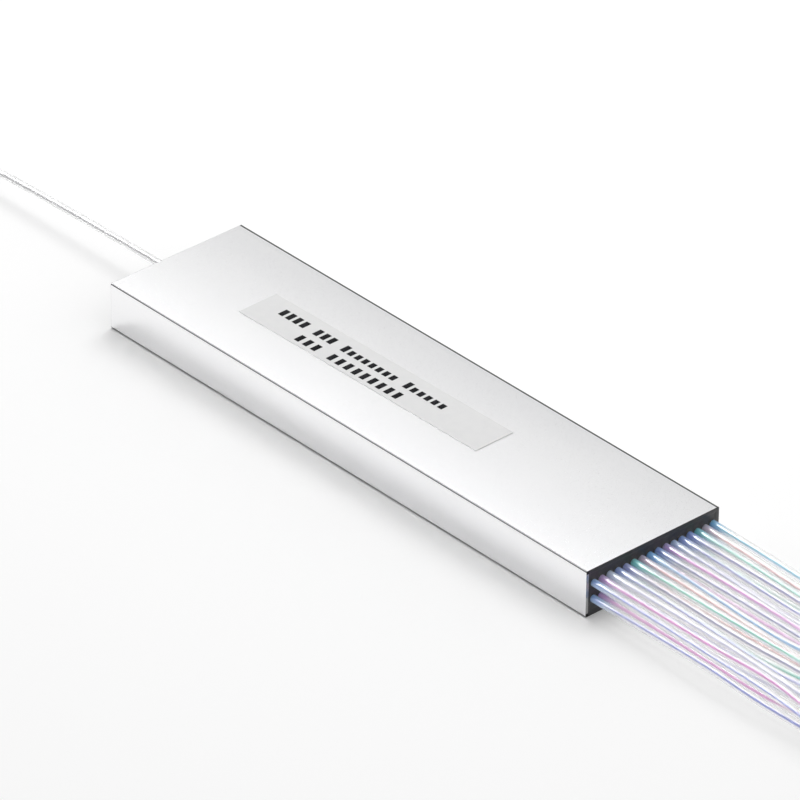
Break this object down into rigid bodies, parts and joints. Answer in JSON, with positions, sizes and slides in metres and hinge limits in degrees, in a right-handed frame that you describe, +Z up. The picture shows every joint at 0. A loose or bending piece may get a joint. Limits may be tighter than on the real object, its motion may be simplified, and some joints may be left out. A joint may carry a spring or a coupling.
{
  "type": "plc fibre splitter",
  "caption": "Flat satin metal case with black end plugs, one loose tube in and two rows of coloured loose tubes out, leads put away in a tied hank and a coil.",
  "frame": {"origin": "centre of the case's base, midway between its ends and sides", "axes": "+X along the case, out of the output end; +Z up, out of the labelled face; +Y across the case"},
  "size_m": [0.3004, 0.035, 0.0158],
  "materials": {
    "case_metal": "satin",
    "plug_resin": "matte",
    "tray_steel": "satin",
    "pad_silicone": "matte",
    "chip_silica": "gloss",
    "array_glass": "clear",
    "fibre_coating": "gloss",
    "fibre_glass": "clear",
    "ribbon_matrix": "gloss",
    "label_film": "matte",
    "tie_plastic": "matte",
    "tube_clear": "gloss",
    "tube_blue": "gloss",
    "tube_magenta": "gloss",
    "tube_pale_violet": "gloss",
    "tube_blue_violet": "gloss",
    "tube_slate": "gloss",
    "tube_teal": "gloss",
    "tube_salmon": "gloss",
    "tube_bright_blue": "gloss",
    "tube_navy": "gloss",
    "tube_orchid": "gloss",
    "tube_sky": "gloss"
  },
  "bodies": {
    "root": {"case_shell": "case_metal", "output_end_plug": "plug_resin", "input_end_plug": "plug_resin", "chip_tray": "tray_steel", "tray_pad_input": "pad_silicone", "tray_pad_output": "pad_silicone", "plc_chip": "chip_silica", "chip_lid_input": "array_glass", "chip_lid_output": "array_glass", "input_array": "array_glass", "input_array_lid": "array_glass", "output_array": "array_glass", "output_array_lid": "array_glass", "input_fibre": "fibre_coating", "bare_fibres": "fibre_glass", "fan_out_fibres": "fibre_coating", "ribbon_lower_near": "ribbon_matrix", "ribbon_upper_near": "ribbon_matrix", "ribbon_lower_far": "ribbon_matrix", "ribbon_upper_far": "ribbon_matrix", "label": "label_film", "output_hank": "tube_clear", "hank_tie_near": "tie_plastic", "hank_tie_far": "tie_plastic", "input_coil": "tube_clear", "coil_tie": "tie_plastic", "input_tube": "tube_clear", "output_tube_01": "tube_blue", "output_tube_02": "tube_blue", "output_tube_03": "tube_magenta", "output_tube_04": "tube_magenta", "output_tube_05": "tube_pale_violet", "output_tube_06": "tube_pale_violet", "output_tube_07": "tube_blue_violet", "output_tube_08": "tube_blue_violet", "output_tube_09": "tube_slate", "output_tube_10": "tube_slate", "output_tube_11": "tube_teal", "output_tube_12": "tube_teal", "output_tube_13": "tube_salmon", "output_tube_14": "tube_salmon", "output_tube_15": "tube_bright_blue", "output_tube_16": "tube_bright_blue", "output_tube_17": "tube_navy", "output_tube_18": "tube_navy", "output_tube_19": "tube_orchid", "output_tube_20": "tube_orchid", "output_tube_21": "tube_pale_violet", "output_tube_22": "tube_pale_violet", "output_tube_23": "tube_blue_violet", "output_tube_24": "tube_blue_violet", "output_tube_25": "tube_slate", "output_tube_26": "tube_slate", "output_tube_27": "tube_teal", "output_tube_28": "tube_teal", "output_tube_29": "tube_salmon", "output_tube_30": "tube_salmon", "output_tube_31": "tube_sky", "output_tube_32": "tube_sky"}
  },
  "joints": []
}
